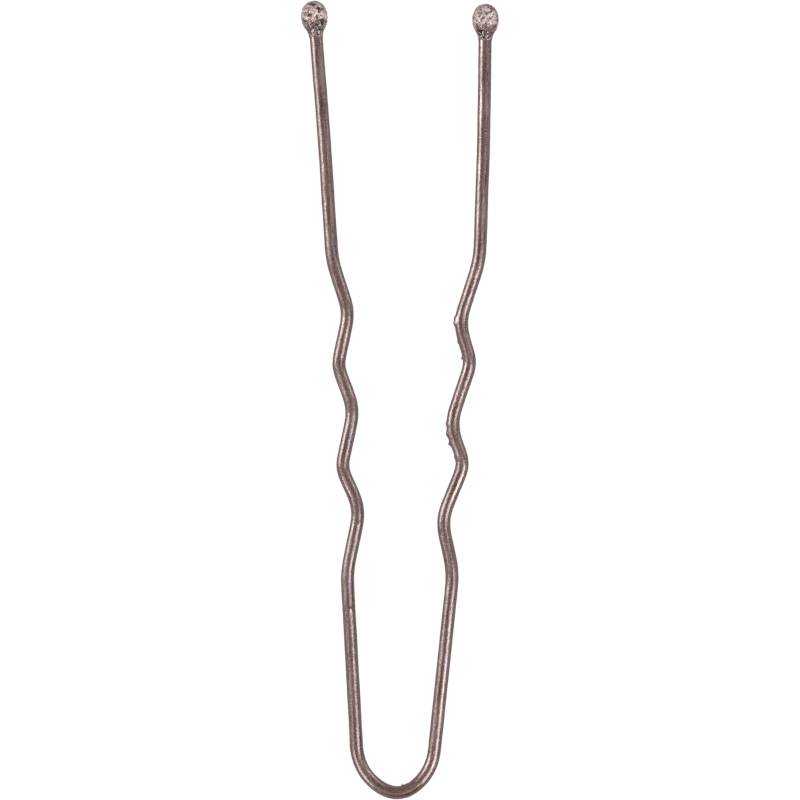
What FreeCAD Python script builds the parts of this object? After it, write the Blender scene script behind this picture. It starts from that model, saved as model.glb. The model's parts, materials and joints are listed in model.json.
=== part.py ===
import FreeCAD, Part
import math
import os
from collections import namedtuple

# Crimped U-shaped hairpin: a bent steel wire, as a springy crown and two legs, with a clear resin drop
# on each end. The pin lies flat. +X runs across the legs, +Y from the crown to the tips, and +Z is up.
# The origin is the bottom centre of the pin's box, so both drops stand on Z = 0. Sizes are millimetres.

# Whole pin. The wire is measured over its lacquer.
OVERALL_LENGTH = 76.2
WIRE_DIAMETER = 1.25
TIP_SPREAD = 16.3

# Crown: a three-centred arch of the wire's centre line
CROWN_RADIUS = 2.54
CROWN_SIDE_RADIUS = 4.84
CROWN_SHIFT = -0.28

# Crimp: zigzag waves that point inwards, between the straight shank and the nearly straight end of a leg
CRIMP_HEIGHT = 21.7
CRIMP_PITCH = 9.9
CRIMP_DEPTH = 1.45
CRIMP_WAVES = 3
INNER_BEND_RADIUS = 4.6
OUTER_BEND_RADIUS = 2.6
CRIMP_END_RADIUS = 9.0
LEG_BOW_RADIUS = 60.0

# Resin drop: a round crest, a fuller belly below it, and a hollow neck that thins out on the wire
DROP_DIAMETER = 2.58
DROP_CREST_RADIUS = 1.2
DROP_BELLY_RADIUS = 2.0
DROP_NECK_RADIUS = 1.4
DROP_FILM = 0.05
WIRE_END_BELOW_CENTRE = 0.35

# Knuckle: the round face, about the shoulder, in which a leg meets the crown and turns without overlap
KNUCKLE_TO_WIRE = 1.15

# An arc takes up at most this share of the shorter straight run beside its corner
LARGEST_RUN_SHARE = 0.45

# What differs between the legs. arc is how many degrees round from its bottom the crown's lowest arc reaches.
# foot and head are the crimp's distances from the middle of the pin, at its lower and upper end, and bow is
# how far outwards the end above the crimp is bent at its middle: all three are shares of half the spread.
# short is how much lower the tip ends, as a share of the drop's diameter. wander is how far each bend of the
# crimp, from the lowest inner one up, departs from even waves: as a share of the pitch along the leg, then
# as a share of the depth inwards.
Leg = namedtuple("Leg", "name side arc foot head bow short wander")
LEFT_WANDER = ((0.106, 0.062), (0, -0.041), (0.069, -0.028), (-0.015, 0.028), (0, -0.055))
RIGHT_WANDER = ((0.007, 0.062), (0.04, -0.138), (-0.088, 0.028), (0.016, 0), (-0.097, 0))
LEGS = (
    Leg("left", -1, 25.0, 0.621, 0.794, -0.01, 0, LEFT_WANDER),
    Leg("right", 1, 33.3, 0.622, 0.932, 0.0135, 0.116, RIGHT_WANDER),
)

WIRE_RADIUS = WIRE_DIAMETER / 2
DROP_RADIUS = DROP_DIAMETER / 2
HALF_SPREAD = TIP_SPREAD / 2
CROWN_CENTRE_HEIGHT = WIRE_RADIUS + CROWN_RADIUS
KNUCKLE_RADIUS = KNUCKLE_TO_WIRE * WIRE_RADIUS

# The crest's centre lies this far above the drop's widest level, so that the crest runs on into the belly
CREST_RISE = math.sqrt((DROP_BELLY_RADIUS - DROP_CREST_RADIUS) ** 2 - (DROP_BELLY_RADIUS - DROP_RADIUS) ** 2)


def place(side, out, height):
    """Point in the pin's frame, out from its middle on one side and height above the crown's bottom."""
    return FreeCAD.Vector(side * out, height - OVERALL_LENGTH / 2, DROP_RADIUS)


def turned(angle):
    """Unit (out, height) vector at an angle in radians from straight down, towards the outside."""
    return math.sin(angle), -math.cos(angle)


def crown_centre(side):
    """(out, height) of the centre of the crown's lowest arc, seen from one leg."""
    return side * CROWN_SHIFT, CROWN_CENTRE_HEIGHT


def side_centre(leg):
    """(out, height) of the centre of the crown's side arc, which meets the lowest arc without a corner."""
    out, height = crown_centre(leg.side)
    along = turned(math.radians(leg.arc))
    inset = CROWN_SIDE_RADIUS - CROWN_RADIUS
    return out - inset * along[0], height - inset * along[1]


def on_side_arc(leg, angle):
    """The side arc's point at an angle from straight down."""
    centre, along = side_centre(leg), turned(angle)
    return place(leg.side, *(c + CROWN_SIDE_RADIUS * a for c, a in zip(centre, along)))


def shoulder_angle(leg):
    """Where on the side arc the straight shank leaves it, as a tangent through the foot of the crimp."""
    centre = side_centre(leg)
    out, height = leg.foot * HALF_SPREAD - centre[0], CRIMP_HEIGHT - centre[1]
    foot_angle = math.atan2(out, -height)
    return foot_angle - math.acos(CROWN_SIDE_RADIUS / math.hypot(out, height))


def shoulder(leg):
    """The point where the crown ends and the leg begins: the leg flexes about it."""
    return on_side_arc(leg, shoulder_angle(leg))


def crimp_corners(leg):
    """The crimp's corners from the lowest up, each as (point, bend radius)."""
    last = 2 * CRIMP_WAVES
    corners = []
    for bend in range(last + 1):
        ends_crimp = bend in (0, last)
        along, inwards = (0, 0) if ends_crimp else leg.wander[(bend - 1) % len(leg.wander)]
        rise = (bend / 2 + along) * CRIMP_PITCH
        axis = leg.foot + (leg.head - leg.foot) * rise / (CRIMP_WAVES * CRIMP_PITCH)
        is_inner = bend % 2 == 1
        out = axis * HALF_SPREAD - (is_inner + inwards) * CRIMP_DEPTH
        radius = CRIMP_END_RADIUS if ends_crimp else INNER_BEND_RADIUS if is_inner else OUTER_BEND_RADIUS
        corners.append((place(leg.side, out, CRIMP_HEIGHT + rise), radius))
    return corners


def drop_centre(leg):
    """Middle of the drop's widest level."""
    top = OVERALL_LENGTH - leg.short * DROP_DIAMETER
    return place(leg.side, HALF_SPREAD, top - DROP_CREST_RADIUS - CREST_RISE)


def bow_corner(leg):
    """The slight bend half-way up the leg's end, as (point, bend radius)."""
    top, _ = crimp_corners(leg)[-1]
    halfway = (top + drop_centre(leg)) / 2
    return halfway + FreeCAD.Vector(leg.side * leg.bow * HALF_SPREAD, 0, 0), LEG_BOW_RADIUS


def end_direction(leg):
    """The way the leg's end points, from its slight bend to the drop."""
    bend, _ = bow_corner(leg)
    return (drop_centre(leg) - bend).normalize()


def wire_end(leg):
    """Centre of the wire's cut end, inside the drop."""
    return drop_centre(leg) - end_direction(leg) * WIRE_END_BELOW_CENTRE


def bent_path(start, corners, end):
    """Edges of straight runs joined by tangent arcs at the corners, each a (point, bend radius)."""
    points = [start] + [point for point, _ in corners] + [end]
    edges, reached = [], start
    for before, (corner, radius), after in zip(points, corners, points[2:]):
        back, ahead = before - corner, after - corner
        half_turn = (math.pi - back.getAngle(ahead)) / 2
        shorter_run = min(back.Length, ahead.Length)
        reach = min(radius * math.tan(half_turn), LARGEST_RUN_SHARE * shorter_run)
        back.normalize()
        ahead.normalize()
        middle = (back + ahead).normalize()
        fitted_radius = reach / math.tan(half_turn)
        nearest = fitted_radius * (1 / math.cos(half_turn) - 1)
        arc_start, arc_end = corner + back * reach, corner + ahead * reach
        edges.append(Part.LineSegment(reached, arc_start).toShape())
        edges.append(Part.Arc(arc_start, corner + middle * nearest, arc_end).toShape())
        reached = arc_end
    edges.append(Part.LineSegment(reached, end).toShape())
    return edges


def wire_along(edges):
    """Round wire swept along edges that run on from each other."""
    path = Part.Wire(edges)
    first = edges[0]
    start = first.valueAt(first.FirstParameter)
    heading = first.tangentAt(first.FirstParameter)
    section = Part.Wire(Part.makeCircle(WIRE_RADIUS, start, heading))
    return path.makePipeShell([section], True, True)


def arc_between(point_at, first, last):
    """Arc edge through a function's points at the first angle, the middle one and the last."""
    return Part.Arc(point_at(first), point_at((first + last) / 2), point_at(last)).toShape()


def leg_wire(leg):
    """Straight shank, crimp and bowed end, from the shoulder to the cut end inside the drop."""
    return wire_along(bent_path(shoulder(leg), crimp_corners(leg) + [bow_corner(leg)], wire_end(leg)))


def knuckle(leg):
    """The round post about the leg's flex axis that parts the leg from the crown."""
    foot = shoulder(leg) - FreeCAD.Vector(0, 0, KNUCKLE_RADIUS)
    return Part.makeCylinder(KNUCKLE_RADIUS, 2 * KNUCKLE_RADIUS, foot)


def make_crown():
    """The springy bend: a side arc, the lowest arc, the other side arc, and a round knuckle at each end."""
    left, right = LEGS
    left_joint, right_joint = math.radians(left.arc), math.radians(right.arc)

    def left_side(angle):
        return on_side_arc(left, angle)

    def right_side(angle):
        return on_side_arc(right, angle)

    def lowest(angle):
        out, height = crown_centre(right.side)
        along = turned(angle)
        return place(right.side, out + CROWN_RADIUS * along[0], height + CROWN_RADIUS * along[1])

    bend = wire_along([
        arc_between(left_side, shoulder_angle(left), left_joint),
        arc_between(lowest, -left_joint, right_joint),
        arc_between(right_side, right_joint, shoulder_angle(right)),
    ])
    return bend.fuse([leg_wire(leg).common(knuckle(leg)) for leg in LEGS]).Solids[0]


def make_leg(leg):
    """The leg's wire, hollowed at its lower end to turn on the crown's knuckle."""
    return leg_wire(leg).cut(knuckle(leg)).Solids[0]


def make_drop(leg):
    """Resin drop turned about the leg's end, with a blind socket that the wire fills."""
    film_radius = WIRE_RADIUS + DROP_FILM
    belly = FreeCAD.Vector(DROP_RADIUS - DROP_BELLY_RADIUS, 0, 0)
    reach = DROP_BELLY_RADIUS + DROP_NECK_RADIUS
    neck_out = film_radius + DROP_NECK_RADIUS
    neck = FreeCAD.Vector(neck_out, -math.sqrt(reach**2 - (neck_out - belly.x) ** 2), 0)
    towards_neck = (neck - belly).normalize()
    belly_angle = math.atan2(towards_neck.y, towards_neck.x)
    crest = FreeCAD.Vector(0, CREST_RISE, 0)
    crest_angle = math.atan2(crest.y - belly.y, crest.x - belly.x)

    def around(centre, radius, angle):
        return centre + FreeCAD.Vector(math.cos(angle), math.sin(angle), 0) * radius

    def crest_at(angle):
        return around(crest, DROP_CREST_RADIUS, angle)

    def belly_at(angle):
        return around(belly, DROP_BELLY_RADIUS, angle)

    def neck_at(angle):
        return around(neck, DROP_NECK_RADIUS, angle)

    corners = [
        neck_at(-math.pi),
        FreeCAD.Vector(WIRE_RADIUS, neck.y, 0),
        FreeCAD.Vector(WIRE_RADIUS, -WIRE_END_BELOW_CENTRE, 0),
        FreeCAD.Vector(0, -WIRE_END_BELOW_CENTRE, 0),
        crest_at(math.pi / 2),
    ]
    outline = Part.Wire([
        arc_between(crest_at, math.pi / 2, crest_angle),
        arc_between(belly_at, crest_angle, belly_angle),
        arc_between(neck_at, belly_angle - math.pi, -math.pi),
        *Part.makePolygon(corners).Edges,
    ])
    axis = FreeCAD.Vector(0, 1, 0)
    drop = Part.Face(outline).revolve(FreeCAD.Vector(), axis, 360)
    solid = Part.Solid(drop) if drop.ShapeType == "Shell" else drop
    solid.Placement = FreeCAD.Placement(drop_centre(leg), FreeCAD.Rotation(axis, end_direction(leg)))
    return solid


def main():
    nodes = {"crown": make_crown()}
    for leg in LEGS:
        nodes[leg.name + "_leg"] = make_leg(leg)
        nodes[leg.name + "_tip"] = make_drop(leg)
    os.makedirs("parts", exist_ok=True)
    for name, shape in nodes.items():
        shape.exportStep(os.path.join("parts", name + ".step"))
        print(name, shape.ShapeType, "valid" if shape.isValid() else "not valid", round(shape.Volume, 2))
    for leg in LEGS:
        pivot = shoulder(leg)
        print(leg.name, "leg flexes about", [round(value, 4) for value in pivot])


main()
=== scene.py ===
import json
import math
from collections import namedtuple

import bpy
import numpy as np
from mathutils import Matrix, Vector


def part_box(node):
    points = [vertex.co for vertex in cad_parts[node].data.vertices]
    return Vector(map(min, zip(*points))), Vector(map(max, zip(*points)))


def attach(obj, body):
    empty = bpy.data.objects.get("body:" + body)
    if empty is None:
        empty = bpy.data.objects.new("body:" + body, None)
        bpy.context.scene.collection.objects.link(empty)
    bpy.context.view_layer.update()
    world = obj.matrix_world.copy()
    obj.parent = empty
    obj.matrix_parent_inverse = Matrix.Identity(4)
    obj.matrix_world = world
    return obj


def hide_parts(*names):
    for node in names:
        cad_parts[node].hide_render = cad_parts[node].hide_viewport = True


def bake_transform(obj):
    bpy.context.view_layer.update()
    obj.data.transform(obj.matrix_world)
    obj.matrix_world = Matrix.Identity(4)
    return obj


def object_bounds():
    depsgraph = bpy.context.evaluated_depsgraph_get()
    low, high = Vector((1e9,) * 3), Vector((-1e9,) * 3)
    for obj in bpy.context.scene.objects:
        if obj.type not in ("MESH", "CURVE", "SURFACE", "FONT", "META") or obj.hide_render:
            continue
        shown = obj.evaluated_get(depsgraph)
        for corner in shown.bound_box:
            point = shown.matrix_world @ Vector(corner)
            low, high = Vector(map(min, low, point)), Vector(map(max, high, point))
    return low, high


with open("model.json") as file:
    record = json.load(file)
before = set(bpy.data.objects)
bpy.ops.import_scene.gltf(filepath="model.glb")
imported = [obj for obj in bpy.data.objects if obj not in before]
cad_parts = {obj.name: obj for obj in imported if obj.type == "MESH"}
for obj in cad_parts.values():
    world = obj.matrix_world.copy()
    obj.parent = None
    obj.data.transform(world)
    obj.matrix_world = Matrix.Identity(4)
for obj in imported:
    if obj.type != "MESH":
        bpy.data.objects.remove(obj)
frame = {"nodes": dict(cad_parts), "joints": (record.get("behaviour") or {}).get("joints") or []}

cad_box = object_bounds()

# A crimped U hairpin that lies flat, seen from straight above with its tips at the top of the picture.
# Lengths are metres in the frame's axes: +X from the left leg to the right one, +Y to the tips, +Z up.
MM = 0.001
SEED = 11

# Wire mesh: rings of points at even steps along the wire
RING_STEP = 0.11 * MM
RING_POINTS = 48

# Wire route: the middles of slices through the solids, smoothed. The last bit before a cut end runs straight
# on from the slices before it, and a drop's axis follows the last rings.
SLICE_STEP = 0.25 * MM
CROWN_SLICES = 60
SMOOTHING_ROUNDS = 3
END_MARGIN = 0.12 * MM
SLOPE_SLICES = 4
END_RINGS = 8

# Lacquer: long and short waves in its thickness, as (height, length along, waves around). Each is laid on a
# few times, with its length stretched by chance.
LACQUER_WAVES = (
    (0.006 * MM, 9.0 * MM, 1),
    (0.005 * MM, 4.3 * MM, 2),
    (0.004 * MM, 1.9 * MM, 3),
    (0.003 * MM, 0.9 * MM, 4),
    (0.002 * MM, 0.5 * MM, 7),
)
LAYS_PER_WAVE = 3
WAVE_STRETCH = (0.7, 1.4)

# Nubs and runs in the lacquer, each at the point of the wire nearest to (x, y). around is the angle from the
# pin's inside towards the top, in degrees. length is how far the lump spreads along the wire, and width is
# how far it spreads around it, in degrees.
Lump = namedtuple("Lump", "x y around rise length width")
LUMPS = (
    Lump(5.8 * MM, 7.8 * MM, 5, 0.15 * MM, 0.2 * MM, 28),
    Lump(5.8 * MM, 7.3 * MM, 12, 0.18 * MM, 0.25 * MM, 26),
    Lump(6.2 * MM, 5.7 * MM, 5, 0.07 * MM, 0.2 * MM, 25),
    Lump(6.7 * MM, 4.1 * MM, 0, 0.15 * MM, 0.18 * MM, 26),
    Lump(5.0 * MM, -2.3 * MM, 5, 0.1 * MM, 0.18 * MM, 26),
    Lump(5.1 * MM, -3.2 * MM, 8, 0.16 * MM, 0.28 * MM, 28),
    Lump(5.4 * MM, -4.0 * MM, 0, 0.18 * MM, 0.2 * MM, 26),
    Lump(5.8 * MM, -5.4 * MM, 0, 0.08 * MM, 0.14 * MM, 24),
    Lump(0.4 * MM, -37.4 * MM, 5, 0.2 * MM, 0.1 * MM, 16),
    Lump(0.9 * MM, -37.2 * MM, 10, 0.07 * MM, 0.2 * MM, 25),
    Lump(-4.1 * MM, -11.6 * MM, 60, 0.04 * MM, 0.14 * MM, 16),
    Lump(-5.0 * MM, -19.9 * MM, 75, 0.04 * MM, 0.14 * MM, 16),
    Lump(-4.1 * MM, -33.0 * MM, 150, 0.04 * MM, 0.7 * MM, 40),
)

# Lacquer's look: streaks along the wire and fine grain, from dark to pale brown, under a tinted film
STREAK_SCALE = (22.0, 0.3, 1.0)
GRAIN_SCALE = 5200.0
STREAK_SHARE = 0.5
GRAIN_SHARE = 0.5
DARK_BROWN = (0.212, 0.125, 0.114, 1)
PALE_BROWN = (0.72, 0.476, 0.444, 1)
BROWN_REACH = (0.38, 0.62)
STREAK_REACH = (0.3, 0.7)
STREAK_ROUGHNESS = (0.16, 0.42)
LACQUER_BUMP = 0.06 * MM
LACQUER_BUMP_STRENGTH = 0.6
LACQUER_IOR = 5.4
FILM_IOR = 1.06
FILM_ROUGHNESS = 0.1
FILM_TINT = (0.435, 0.372, 0.361, 1)

# Resin drop: crest, belly and neck as in the solid, with an uneven skin. No spoke from the drop's centre
# counts as shorter than SHORTEST_SPOKE, so that it can be divided by.
CREST_RADIUS = 1.2 * MM
BELLY_RADIUS = 2.0 * MM
NECK_RADIUS = 1.4 * MM
NECK_FILM = 0.05 * MM
NECK_POINTS = 24
BELLY_POINTS = 60
CREST_POINTS = 30
DROP_RINGS = 96
DROP_POINTS = 96
SKIN_DEPTH = 0.04 * MM
SKIN_WAVES = 30
SKIN_WAVE_LENGTHS = (0.35 * MM, 0.8 * MM)
SHORTEST_SPOKE = 1e-9

# Bubbles: their heights and the reach that they keep within are shares of the drop's radius, and their
# distances out from its axis are shares of the room that is left there
BUBBLES = 14
BUBBLE_RADII = (0.05 * MM, 0.14 * MM)
BUBBLE_HEIGHTS = (-0.5, 0.6)
BUBBLE_REACH = 0.86
BUBBLE_OUT = (0.45, 0.85)
BUBBLE_ROWS = 10
BUBBLE_COLUMNS = 16

# Resin's look: a wrinkled skin with painted dark brown shade in its hollows, clear on its rises, under a
# tinted film
WRINKLE_SCALE = 2000.0
# The dark brown is painted shade, laid in the hollows of the wrinkles
PAINTED_HOLLOW_SHADE = (0.075, 0.041, 0.034, 1)
RESIN_CLEAR = (1.0, 0.94, 0.92, 1)
HOLLOW_SHADE_REACH = (0.41, 0.48)
WRINKLE_DEPTH = 0.18 * MM
WRINKLE_STRENGTH = 0.8
RESIN_TRANSMISSION = 0.9
RESIN_IOR = 1.68
RESIN_ROUGHNESS = 0.03
RESIN_TINT = (0.91, 0.857, 0.846, 1)

# Camera and floor. The glow is what the floor shows to the eye and to shiny and clear things.
IMAGE_PIXELS = 800
LENGTH_PIXELS = 798.8
LENS = 200
SENSOR = 36
FLOOR_SIZE = 4.0
FLOOR_DROP = 0.02 * MM
FLOOR_GREY = 0.6
FLOOR_GLOW = 1.1
GLOW_SHARE = 0.9

# Soft boxes, at angles in degrees round from +X and up from the floor, and the grey of the room around them.
# Their sizes are metres and their power is watts.
Box = namedtuple("Box", "name azimuth elevation distance width height power")
SOFT_BOXES = (
    Box("front_right", -29, 46, 0.40, 0.20, 0.22, 0.97),
    Box("back_right", 32, 18, 0.40, 0.18, 0.13, 0.42),
    Box("back_left", 166, 23, 0.40, 0.18, 0.20, 0.86),
    Box("front_left", 219, 34, 0.40, 0.18, 0.18, 0.68),
)
WORLD_GREY = 0.12

rng = np.random.default_rng(SEED)
shoulders = {joint["name"]: Vector(joint["pos_m"]) for joint in frame["joints"]}
LEFT_SHOULDER = shoulders["left_leg_flex"]
RIGHT_SHOULDER = shoulders["right_leg_flex"]
crown_low, crown_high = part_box("crown")
WIRE_RADIUS = (crown_high.z - crown_low.z) / 2
WIRE_HEIGHT = (crown_high.z + crown_low.z) / 2


# The wire's route, read from the solids

def mesh_arrays(name):
    """Corner positions and edges of a CAD node."""
    mesh = frame["nodes"][name].data
    corners = np.array([vertex.co for vertex in mesh.vertices])
    edges = np.array([edge.vertices for edge in mesh.edges])
    return corners, edges


def crossings(solids, point, normal):
    """Points where the edges of some solids cross a plane."""
    found = []
    for corners, edges in solids:
        height = (corners - point) @ normal
        first, last = edges.T
        crossing = height[first] * height[last] < 0
        first, last = first[crossing], last[crossing]
        share = height[first] / (height[first] - height[last])
        found.append(corners[first] + share[:, None] * (corners[last] - corners[first]))
    return np.concatenate(found)


def middle_along(points, direction):
    """Middle of some points' reach along a direction."""
    reach = points @ direction
    return (reach.min() + reach.max()) / 2


def crown_route(solids, centre, angles):
    """Centre line of the crown from slices that turn about its centre."""
    route = []
    for angle in angles:
        outwards = np.array((math.cos(angle), math.sin(angle), 0))
        across = np.array((-outwards[1], outwards[0], 0))
        points = crossings(solids, centre, across) - centre
        points = points[points @ outwards > 0]
        route.append(centre + outwards * middle_along(points, outwards))
    return np.array(route)


def leg_route(solids, side, start, end):
    """Centre line of a leg from level slices between two heights."""
    across = np.array((1.0, 0, 0))
    upwards = np.array((0, 1.0, 0))
    route = []
    for level in np.arange(start + SLICE_STEP, end - END_MARGIN, SLICE_STEP):
        points = crossings(solids, upwards * level, upwards)
        points = points[points[:, 0] * side > 0]
        route.append((middle_along(points, across), level, WIRE_HEIGHT))
    route = np.array(route)
    before = route[-1 - SLOPE_SLICES]
    slope = (route[-1] - before) / (route[-1][1] - before[1])
    return np.vstack((route, route[-1] + slope * (end - route[-1][1])))


def evenly(points, step):
    """The same route with points at even steps."""
    runs = np.linalg.norm(np.diff(points, axis=0), axis=1)
    reached = np.concatenate(((0,), np.cumsum(runs)))
    wanted = np.linspace(0, reached[-1], int(reached[-1] / step) + 1)
    return np.stack([np.interp(wanted, reached, points[:, axis]) for axis in range(3)], axis=1)


def smoothed(points):
    """The route without the small steps of the solids' facets."""
    points = points.copy()
    for _ in range(SMOOTHING_ROUNDS):
        points[1:-1] = (points[:-2] + 2 * points[1:-1] + points[2:]) / 4
    return points


def whole_route():
    """Centre line from the left leg's cut end, round the crown, to the right leg's cut end."""
    crown = mesh_arrays("crown")
    left = [crown, mesh_arrays("left_leg")]
    right = [crown, mesh_arrays("right_leg")]
    centre = np.array((LEFT_SHOULDER + RIGHT_SHOULDER) / 2)
    centre[2] = WIRE_HEIGHT
    left_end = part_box("left_leg")[1].y
    right_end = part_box("right_leg")[1].y
    around = np.linspace(math.pi, 2 * math.pi, CROWN_SLICES)
    route = np.vstack((
        leg_route(left, -1, centre[1], left_end)[::-1],
        crown_route([*left, *right[1:]], centre, around),
        leg_route(right, 1, centre[1], right_end),
    ))
    return evenly(smoothed(evenly(route, SLICE_STEP)), RING_STEP)


# Wire

def lacquer_rise(lengths, angles):
    """Uneven thickness of the lacquer over the wire's length and girth."""
    rise = np.zeros(np.broadcast(lengths, angles).shape)
    for height, wave, around in LACQUER_WAVES:
        for _ in range(LAYS_PER_WAVE):
            stretch = rng.uniform(*WAVE_STRETCH)
            phase = rng.uniform(0, 2 * math.pi)
            turn = rng.uniform(0, 2 * math.pi)
            along = np.sin(2 * math.pi * lengths / (wave * stretch) + phase)
            rise += height / 2 * along * np.cos(around * angles + turn)
    return rise


def lump_rise(route, angles):
    """Lumps of lacquer on the wire."""
    rise = np.zeros((len(route), len(angles)))
    lengths = np.arange(len(route)) * RING_STEP
    for lump in LUMPS:
        nearest = np.argmin(np.hypot(route[:, 0] - lump.x, route[:, 1] - lump.y))
        along = np.exp(-(((lengths - lengths[nearest]) / lump.length) ** 2))
        off = np.angle(np.exp(1j * (angles - math.radians(lump.around))))
        around = np.exp(-((off / math.radians(lump.width)) ** 2))
        rise += lump.rise * along[:, None] * around[None, :]
    return rise


def wire_rings(route):
    """Rings of points round the route. Angle 0 faces the inside of the pin, and a quarter turn faces up."""
    tangents = np.gradient(route, axis=0)
    tangents /= np.linalg.norm(tangents, axis=1)[:, None]
    inwards = np.stack((-tangents[:, 1], tangents[:, 0], np.zeros(len(route))), axis=1)
    upwards = np.array((0, 0, 1.0))
    angles = np.linspace(0, 2 * math.pi, RING_POINTS, endpoint=False) - math.pi / 2
    lengths = np.arange(len(route)) * RING_STEP
    rise = lacquer_rise(lengths[:, None], angles[None, :]) + lump_rise(route, angles)
    radial = np.cos(angles)[None, :, None] * inwards[:, None, :] + np.sin(angles)[None, :, None] * upwards
    return route[:, None, :] + (WIRE_RADIUS + rise)[:, :, None] * radial


def ring_normals(rings):
    """Smooth normals of a grid of rings."""
    around = np.roll(rings, -1, axis=1) - np.roll(rings, 1, axis=1)
    along = np.gradient(rings, axis=0)
    normals = np.cross(around, along)
    return normals / np.linalg.norm(normals, axis=2)[:, :, None]


def ring_mesh(name, rings, normals, first_length):
    """Closed mesh of rings with flat ends. Its UV map holds the share of a turn, and the length in mm."""
    count, points = rings.shape[:2]
    index = np.arange(count * points).reshape(count, points)
    onwards = np.roll(index, -1, axis=1)
    sides = np.stack((index[:-1], onwards[:-1], onwards[1:], index[1:]), axis=-1).reshape(-1, 4)
    faces = [*sides.tolist(), index[0][::-1].tolist(), index[-1].tolist()]
    mesh = bpy.data.meshes.new(name)
    mesh.from_pydata(rings.reshape(-1, 3).tolist(), [], faces)
    mesh.polygons.foreach_set("use_smooth", [True] * len(faces))

    flat_normals = normals.reshape(-1, 3)
    corner_normals = flat_normals[sides.reshape(-1)]
    ends = [np.tile(mesh.polygons[face].normal, (points, 1)) for face in (len(faces) - 2, len(faces) - 1)]

    turn = np.arange(points) / points
    length = first_length / MM + np.arange(count) * RING_STEP / MM
    turn_ahead = turn + 1 / points
    side_uv = np.empty((count - 1, points, 4, 2))
    side_uv[..., 0, 0] = side_uv[..., 3, 0] = turn
    side_uv[..., 1, 0] = side_uv[..., 2, 0] = turn_ahead
    side_uv[..., 0, 1] = side_uv[..., 1, 1] = length[:-1, None]
    side_uv[..., 2, 1] = side_uv[..., 3, 1] = length[1:, None]
    end_uv = [np.stack((turn, np.full(points, at)), axis=1) for at in (length[0], length[-1])]
    layer = mesh.uv_layers.new(name="along_wire")
    layer.data.foreach_set("uv", np.concatenate((side_uv.reshape(-1, 2), *end_uv)).ravel())
    mesh.normals_split_custom_set(np.concatenate((corner_normals, *ends)).tolist())
    return mesh


def shown(name, mesh, material):
    """A new object with a mesh and its material."""
    thing = bpy.data.objects.new(name, mesh)
    mesh.materials.append(material)
    bpy.context.scene.collection.objects.link(thing)
    return thing


# Resin drops

def crest_rise(radius):
    """How far the crest's centre lies above the drop's widest level."""
    return math.sqrt((BELLY_RADIUS - CREST_RADIUS) ** 2 - (BELLY_RADIUS - radius) ** 2)


def arc_points(out, height, radius, first, last, count):
    """(height, radius) points of an arc, at angles from straight out towards the crest."""
    angles = np.linspace(first, last, count)
    return np.stack((height + radius * np.sin(angles), out + radius * np.cos(angles)), axis=1)


def drop_outline(radius, wire):
    """(height, radius) points from the end of the neck, through the belly, to the crest."""
    belly = radius - BELLY_RADIUS
    neck = wire + NECK_FILM + NECK_RADIUS
    reach = BELLY_RADIUS + NECK_RADIUS
    below = math.sqrt(reach**2 - (neck - belly) ** 2)
    lean = math.asin(below / reach)
    rise = crest_rise(radius)
    join = math.atan2(rise, -belly)
    return np.concatenate((
        arc_points(neck, -below, NECK_RADIUS, math.pi, math.pi - lean, NECK_POINTS),
        arc_points(belly, 0, BELLY_RADIUS, -lean, join, BELLY_POINTS)[1:],
        arc_points(0, rise, CREST_RADIUS, join, math.pi / 2, CREST_POINTS)[1:],
    ))


def skin_depth(points):
    """How far the uneven skin sinks below the smooth drop at some points."""
    depth = np.zeros(points.shape[:-1])
    for _ in range(SKIN_WAVES):
        way = rng.normal(size=3)
        way /= np.linalg.norm(way)
        wave = rng.uniform(*SKIN_WAVE_LENGTHS)
        depth += np.sin(points @ way * 2 * math.pi / wave + rng.uniform(0, 2 * math.pi))
    return SKIN_DEPTH * (0.5 + 0.5 * np.tanh(depth / math.sqrt(SKIN_WAVES)))


def bubble_corner(row, column):
    """Number of a corner of a bubble, after its two poles."""
    return 2 + (row - 1) * BUBBLE_COLUMNS + column % BUBBLE_COLUMNS


def bubble_shell(centre, radius):
    """Corners and faces of a round cavity: its faces look into it."""
    pole = np.array((0, 0, radius))
    corners = [centre + pole, centre - pole]
    for row in range(1, BUBBLE_ROWS):
        tilt = math.pi * row / BUBBLE_ROWS
        flat = radius * math.sin(tilt)
        rise = radius * math.cos(tilt)
        for column in range(BUBBLE_COLUMNS):
            turn = 2 * math.pi * column / BUBBLE_COLUMNS
            corners.append(centre + np.array((flat * math.cos(turn), flat * math.sin(turn), rise)))
    faces = []
    last = BUBBLE_ROWS - 1
    for column in range(BUBBLE_COLUMNS):
        ahead = column + 1
        faces.append((0, bubble_corner(1, ahead), bubble_corner(1, column)))
        faces.append((1, bubble_corner(last, column), bubble_corner(last, ahead)))
        for row in range(1, last):
            upper = (bubble_corner(row, column), bubble_corner(row, ahead))
            lower = (bubble_corner(row + 1, ahead), bubble_corner(row + 1, column))
            faces.append(upper + lower)
    return corners, faces


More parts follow.
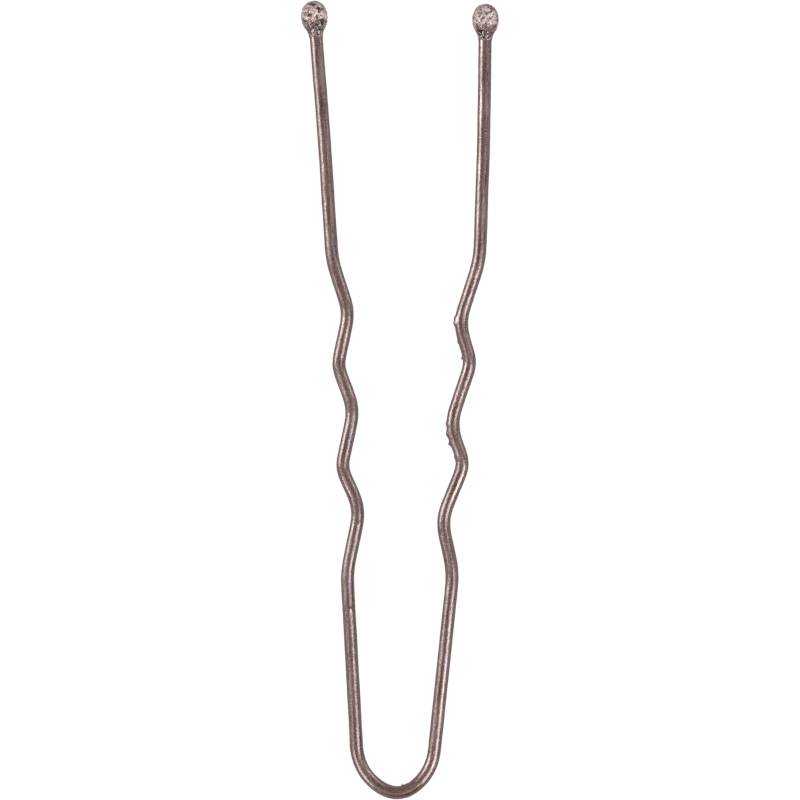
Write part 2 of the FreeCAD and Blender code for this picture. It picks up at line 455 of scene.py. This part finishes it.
def drop_mesh(name, centre, axis, radius):
    """Closed drop with an uneven skin and air bubbles, its axis along the leg's end."""
    outline = drop_outline(radius, WIRE_RADIUS)
    steps = np.linspace(0, len(outline) - 1, DROP_RINGS)
    heights = np.interp(steps, np.arange(len(outline)), outline[:, 0])
    radii = np.interp(steps, np.arange(len(outline)), outline[:, 1])
    turns = np.linspace(0, 2 * math.pi, DROP_POINTS, endpoint=False)
    across = np.array((-axis[1], axis[0], 0))
    upwards = np.array((0, 0, 1.0))
    spokes = np.cos(turns)[:, None] * across + np.sin(turns)[:, None] * upwards
    smooth = heights[:, None, None] * axis + radii[:, None, None] * spokes
    away = smooth / np.maximum(np.linalg.norm(smooth, axis=2), SHORTEST_SPOKE)[:, :, None]
    fullness = np.clip((radii - WIRE_RADIUS) / (radius - WIRE_RADIUS), 0, 1)
    fullness[heights > 0] = 1
    rings = centre + smooth - (skin_depth(smooth) * fullness[:, None])[:, :, None] * away

    count = len(rings) - 1
    index = np.arange(count * DROP_POINTS).reshape(count, DROP_POINTS)
    onwards = np.roll(index, -1, axis=1)
    faces = np.stack((index[:-1], onwards[:-1], onwards[1:], index[1:]), axis=-1).reshape(-1, 4).tolist()
    corners = [*rings[:-1].reshape(-1, 3), rings[-1].mean(axis=0)]
    crest = len(corners) - 1
    faces += [(index[-1][i], onwards[-1][i], crest) for i in range(DROP_POINTS)]
    faces.append(index[0][::-1].tolist())

    for _ in range(BUBBLES):
        size = rng.uniform(*BUBBLE_RADII)
        turn = rng.uniform(0, 2 * math.pi)
        height = rng.uniform(*BUBBLE_HEIGHTS) * radius
        room = radius * BUBBLE_REACH - size
        out = rng.uniform(*BUBBLE_OUT) * math.sqrt(max(room**2 - height**2, 0))
        place = centre + height * axis + out * (math.cos(turn) * across + math.sin(turn) * upwards)
        more_corners, more_faces = bubble_shell(place, size)
        faces += [[corner + len(corners) for corner in face] for face in more_faces]
        corners += more_corners
    mesh = bpy.data.meshes.new(name)
    mesh.from_pydata([tuple(corner) for corner in corners], [], [tuple(map(int, face)) for face in faces])
    mesh.polygons.foreach_set("use_smooth", [True] * len(mesh.polygons))
    return mesh


# Materials

def new_material(name):
    """Node material with its tree, ready for nodes."""
    material = bpy.data.materials.new(name)
    material.use_nodes = True
    tree = material.node_tree
    return material, tree, tree.nodes["Principled BSDF"]


def add(tree, kind, inputs=None, **settings):
    """A node with its settings and the values of its inputs."""
    node = tree.nodes.new(kind)
    for key, value in settings.items():
        setattr(node, key, value)
    for key, value in (inputs or {}).items():
        node.inputs[key].default_value = value
    return node


def two_colours(tree, reach, low, high):
    """A ramp from one colour to another over a reach of its input."""
    ramp = add(tree, "ShaderNodeValToRGB")
    for stop, position, colour in zip(ramp.color_ramp.elements, reach, (low, high)):
        stop.position = position
        stop.color = colour
    return ramp


def wire_material():
    """Brown lacquer over drawn steel: streaks along the wire and fine grain, under a tinted film."""
    material, tree, shader = new_material("brown_lacquer")
    link = tree.links.new
    place = add(tree, "ShaderNodeUVMap", uv_map="along_wire")
    stretch = add(tree, "ShaderNodeMapping", {"Scale": STREAK_SCALE})
    streaks = add(tree, "ShaderNodeTexNoise", {"Scale": 1.0, "Detail": 4.0, "Roughness": 0.6})
    link(place.outputs["UV"], stretch.inputs["Vector"])
    link(stretch.outputs["Vector"], streaks.inputs["Vector"])
    where = add(tree, "ShaderNodeTexCoord")
    grain = add(tree, "ShaderNodeTexNoise", {"Scale": GRAIN_SCALE, "Detail": 3.0, "Roughness": 0.65})
    link(where.outputs["Object"], grain.inputs["Vector"])

    colours = two_colours(tree, BROWN_REACH, DARK_BROWN, PALE_BROWN)
    mixed = add(tree, "ShaderNodeMath", {1: STREAK_SHARE}, operation="MULTIPLY_ADD")
    link(streaks.outputs["Fac"], mixed.inputs[0])
    thinned = add(tree, "ShaderNodeMath", {1: GRAIN_SHARE}, operation="MULTIPLY")
    link(grain.outputs["Fac"], thinned.inputs[0])
    link(thinned.outputs[0], mixed.inputs[2])
    link(mixed.outputs[0], colours.inputs["Fac"])
    link(colours.outputs["Color"], shader.inputs["Base Color"])

    rough = add(tree, "ShaderNodeMapRange", {
        "From Min": STREAK_REACH[0],
        "From Max": STREAK_REACH[1],
        "To Min": STREAK_ROUGHNESS[0],
        "To Max": STREAK_ROUGHNESS[1],
    })
    link(streaks.outputs["Fac"], rough.inputs["Value"])
    link(rough.outputs["Result"], shader.inputs["Roughness"])

    bump = add(tree, "ShaderNodeBump", {"Strength": LACQUER_BUMP_STRENGTH, "Distance": LACQUER_BUMP})
    link(mixed.outputs[0], bump.inputs["Height"])
    link(bump.outputs["Normal"], shader.inputs["Normal"])
    shader.inputs["IOR"].default_value = LACQUER_IOR
    shader.inputs["Coat Weight"].default_value = 1.0
    shader.inputs["Coat Roughness"].default_value = FILM_ROUGHNESS
    shader.inputs["Coat IOR"].default_value = FILM_IOR
    shader.inputs["Coat Tint"].default_value = FILM_TINT
    return material


def resin_material():
    """Clear resin with a wrinkled skin, painted dark brown shade in the wrinkles' hollows, faintly tinted.
    """
    material, tree, shader = new_material("clear_resin")
    link = tree.links.new
    where = add(tree, "ShaderNodeTexCoord")
    wrinkles_and_hollow_shade = add(tree, "ShaderNodeTexNoise", {
        "Scale": WRINKLE_SCALE,
        "Detail": 1.5,
        "Roughness": 0.5,
        "Distortion": 0.8,
    })
    link(where.outputs["Object"], wrinkles_and_hollow_shade.inputs["Vector"])
    # Painted shade: dark brown where the wrinkles sink, clear resin where they rise
    colours = two_colours(tree, HOLLOW_SHADE_REACH, PAINTED_HOLLOW_SHADE, RESIN_CLEAR)
    link(wrinkles_and_hollow_shade.outputs["Fac"], colours.inputs["Fac"])
    link(colours.outputs["Color"], shader.inputs["Base Color"])
    bump = add(tree, "ShaderNodeBump", {"Strength": WRINKLE_STRENGTH, "Distance": WRINKLE_DEPTH})
    link(wrinkles_and_hollow_shade.outputs["Fac"], bump.inputs["Height"])
    link(bump.outputs["Normal"], shader.inputs["Normal"])
    shader.inputs["Transmission Weight"].default_value = RESIN_TRANSMISSION
    shader.inputs["IOR"].default_value = RESIN_IOR
    shader.inputs["Roughness"].default_value = RESIN_ROUGHNESS
    shader.inputs["Coat Weight"].default_value = 1.0
    shader.inputs["Coat IOR"].default_value = 1.0
    shader.inputs["Coat Tint"].default_value = RESIN_TINT
    return material


def floor_material():
    """White floor: plain to the light, and nearly even white to the eye, with a faint shadow left in it."""
    material = bpy.data.materials.new("white_floor")
    material.use_nodes = True
    tree = material.node_tree
    tree.nodes.clear()
    link = tree.links.new
    paper = add(tree, "ShaderNodeBsdfDiffuse", {"Color": (FLOOR_GREY, FLOOR_GREY, FLOOR_GREY, 1)})
    white = add(tree, "ShaderNodeEmission", {"Color": (1, 1, 1, 1), "Strength": FLOOR_GLOW})
    rays = add(tree, "ShaderNodeLightPath")
    seen = add(tree, "ShaderNodeMath", operation="MAXIMUM")
    link(rays.outputs["Is Camera Ray"], seen.inputs[0])
    link(rays.outputs["Is Glossy Ray"], seen.inputs[1])
    seen_through = add(tree, "ShaderNodeMath", operation="MAXIMUM")
    link(seen.outputs[0], seen_through.inputs[0])
    link(rays.outputs["Is Transmission Ray"], seen_through.inputs[1])
    share = add(tree, "ShaderNodeMath", {1: GLOW_SHARE}, operation="MULTIPLY")
    link(seen_through.outputs[0], share.inputs[0])
    mix = add(tree, "ShaderNodeMixShader")
    link(share.outputs[0], mix.inputs["Fac"])
    link(paper.outputs[0], mix.inputs[1])
    link(white.outputs[0], mix.inputs[2])
    out = add(tree, "ShaderNodeOutputMaterial")
    link(mix.outputs[0], out.inputs["Surface"])
    return material


# Build the wire, in two halves that meet at the bottom of the crown

route = whole_route()
rings = wire_rings(route)
normals = ring_normals(rings)
bottom = int(np.argmin(route[:, 1]))
lacquer = wire_material()
resin = resin_material()

halves = (
    ("left_wire", "left_leg", LEFT_SHOULDER, slice(0, bottom + 1)),
    ("right_wire", "right_leg", RIGHT_SHOULDER, slice(bottom, None)),
)
for name, body, shoulder, part in halves:
    mesh = ring_mesh(name, rings[part], normals[part], (part.start or 0) * RING_STEP)
    wire = shown(name, mesh, lacquer)
    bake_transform(wire)
    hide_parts(body)
    # Both halves cover the crown's solid, and the left one stands for it
    if body == "left_leg":
        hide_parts("crown")

# Build the drops

ends = (
    (-1, "left_leg", "left_tip", route[0] - route[END_RINGS]),
    (1, "right_leg", "right_tip", route[-1] - route[-1 - END_RINGS]),
)
for side, body, tip, end in ends:
    low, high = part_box(tip)
    radius = (high.z - low.z) / 2
    outer = high.x if side > 0 else low.x
    centre = np.array((outer - side * radius, high.y - CREST_RADIUS - crest_rise(radius), WIRE_HEIGHT))
    mesh = drop_mesh(tip, centre, end / np.linalg.norm(end), radius)
    drop = shown(tip.replace("tip", "drop"), mesh, resin)
    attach(drop, body)
    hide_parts(tip)

# Floor, light and camera

bpy.ops.mesh.primitive_plane_add(size=FLOOR_SIZE, location=(0, 0, -FLOOR_DROP))
floor = bpy.context.object
floor.name = "floor"
floor.data.materials.append(floor_material())

middle = Vector((0, 0, WIRE_HEIGHT))
for box in SOFT_BOXES:
    azimuth = math.radians(box.azimuth)
    elevation = math.radians(box.elevation)
    flat = math.cos(elevation)
    way = Vector((flat * math.cos(azimuth), flat * math.sin(azimuth), math.sin(elevation)))
    lamp = bpy.data.lights.new(box.name, "AREA")
    lamp.shape = "RECTANGLE"
    lamp.size = box.width
    lamp.size_y = box.height
    lamp.energy = box.power
    holder = bpy.data.objects.new(box.name, lamp)
    holder.location = middle + way * box.distance
    holder.rotation_mode = "QUATERNION"
    holder.rotation_quaternion = (-way).to_track_quat("-Z", "Y")
    bpy.context.scene.collection.objects.link(holder)

scene = bpy.context.scene
world = bpy.data.worlds.new("studio")
scene.world = world
world.use_nodes = True
tree = world.node_tree
link = tree.links.new
# The room lights the pin with grey, and shows white through clear resin
room = tree.nodes["Background"]
room.inputs["Color"].default_value = (WORLD_GREY, WORLD_GREY, WORLD_GREY, 1)
tent = add(tree, "ShaderNodeBackground", {"Color": (1, 1, 1, 1)})
rays = add(tree, "ShaderNodeLightPath")
seen = add(tree, "ShaderNodeMixShader")
link(rays.outputs["Is Transmission Ray"], seen.inputs["Fac"])
link(room.outputs[0], seen.inputs[1])
link(tent.outputs[0], seen.inputs[2])
link(seen.outputs[0], tree.nodes["World Output"].inputs["Surface"])

camera = bpy.data.cameras.new("camera")
camera.lens = LENS
camera.sensor_width = SENSOR
pin_length = cad_box[1].y - cad_box[0].y
view_width = pin_length * IMAGE_PIXELS / LENGTH_PIXELS
viewer = bpy.data.objects.new("camera", camera)
viewer.location = middle + Vector((0, 0, view_width / 2 / (SENSOR / 2 / LENS)))
scene.collection.objects.link(viewer)
scene.camera = viewer
scene.view_settings.view_transform = "Standard"
